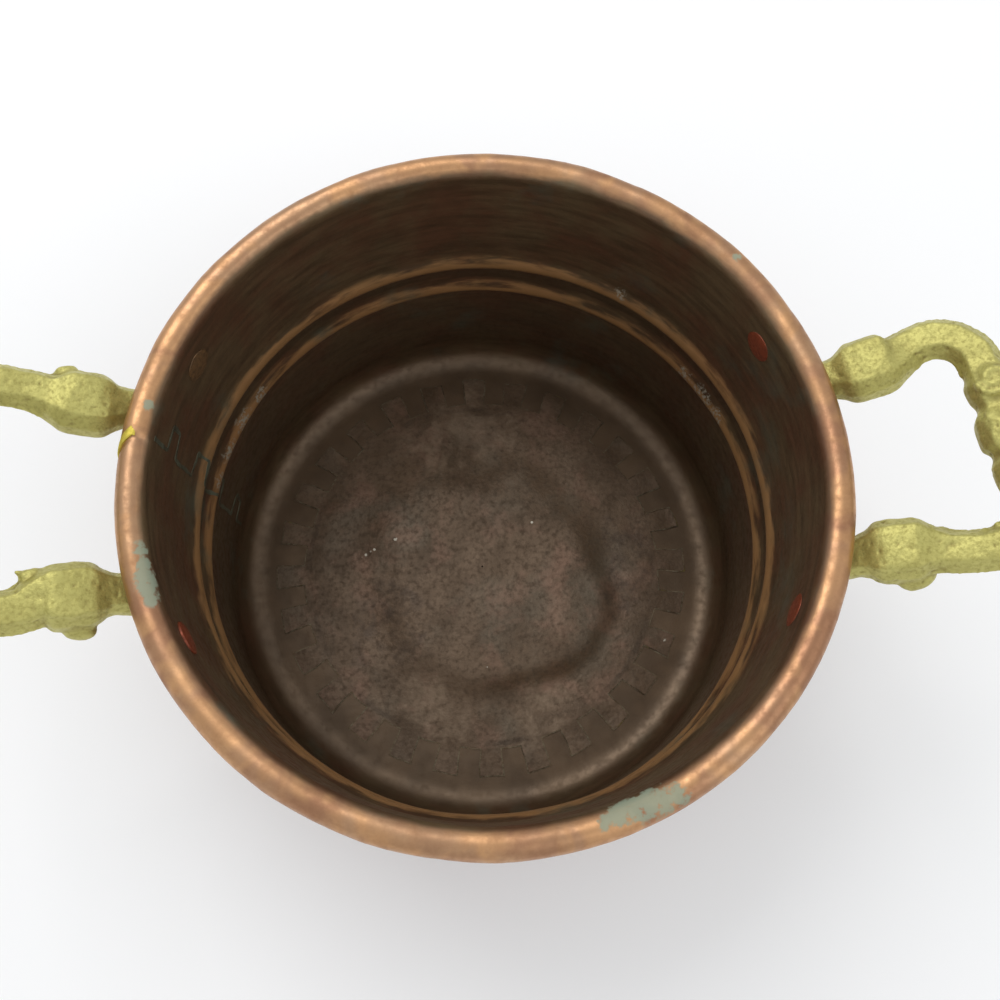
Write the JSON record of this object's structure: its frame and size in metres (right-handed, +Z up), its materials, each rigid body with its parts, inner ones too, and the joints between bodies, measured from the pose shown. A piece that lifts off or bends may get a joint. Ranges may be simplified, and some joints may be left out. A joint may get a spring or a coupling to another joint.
{
  "type": "cooking pot",
  "caption": "Straight-sided round copper cooking pot with a rolled wired rim, swaged beads, cramped brazed seams and riveted cast brass side handles.",
  "frame": {"origin": "middle of the underside, on the surface that the pot stands on", "axes": "+X towards the right handle, along the line of both handles; +Z up through the mouth; +Y towards the back"},
  "size_m": [0.3596, 0.24, 0.1604],
  "materials": {
    "aged_copper_sheet": "hand-worked copper sheet, brown patina outside, dull dark patina inside",
    "dark_copper_bottom": "hammered copper, dark used patina with pinkish worn places",
    "rivet_copper": "hammered copper, redder than the wall",
    "brazing_brass": "yellow brazing brass, rough as run",
    "cast_brass": "rough sand-cast brass, dull greenish yellow with worn bright edges",
    "iron_wire": "plain drawn iron wire, dark"
  },
  "bodies": {
    "root": {"wall": "aged_copper_sheet", "rim_wire": "iron_wire", "base_plate": "dark_copper_bottom", "side_seam_spelter": "brazing_brass", "base_seam_spelter": "brazing_brass", "right_handle": "cast_brass", "left_handle": "cast_brass", "right_front_rivet": "rivet_copper", "right_back_rivet": "rivet_copper", "left_front_rivet": "rivet_copper", "left_back_rivet": "rivet_copper"}
  },
  "joints": []
}
